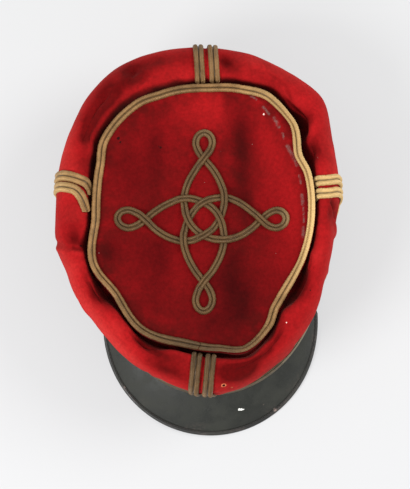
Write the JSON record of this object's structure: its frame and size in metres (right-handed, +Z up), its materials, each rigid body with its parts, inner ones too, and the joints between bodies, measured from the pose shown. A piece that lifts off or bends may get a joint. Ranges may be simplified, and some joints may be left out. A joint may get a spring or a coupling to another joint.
{
  "type": "kepi cap",
  "caption": "Soft red cloth kepi with a sunk round top, gold soutache braid with a looped knot, a dark band and a leather peak, at rest on its rim and peak.",
  "frame": {"origin": "middle of the bounding box's base, on the surface that the cap rests on", "axes": "+Z up; +Y towards the back of the head, so the peak is at -Y; +X towards the wearer's left"},
  "size_m": [0.2146, 0.2902, 0.1012],
  "materials": {
    "red_cloth": "milled wool cloth, worn",
    "band_cloth": "dark wool cloth",
    "gold_braid": "tarnished gold thread braid",
    "peak_leather": "worn dark leather, satin",
    "button_brass": "dull brass"
  },
  "bodies": {
    "root": {"band": "band_cloth", "side_back_left": "red_cloth", "side_back_right": "red_cloth", "side_front_right": "red_cloth", "side_front_left": "red_cloth", "top": "red_cloth", "ring_braid": "gold_braid", "knot_braid": "gold_braid", "peak": "peak_leather", "peak_binding": "peak_leather", "chin_strap": "gold_braid", "button_left": "button_brass", "button_right": "button_brass", "braid_left_1": "gold_braid", "braid_left_2": "gold_braid", "braid_back_1": "gold_braid", "braid_back_2": "gold_braid", "braid_right_1": "gold_braid", "braid_right_2": "gold_braid", "braid_front_1": "gold_braid", "braid_front_2": "gold_braid"}
  },
  "joints": []
}
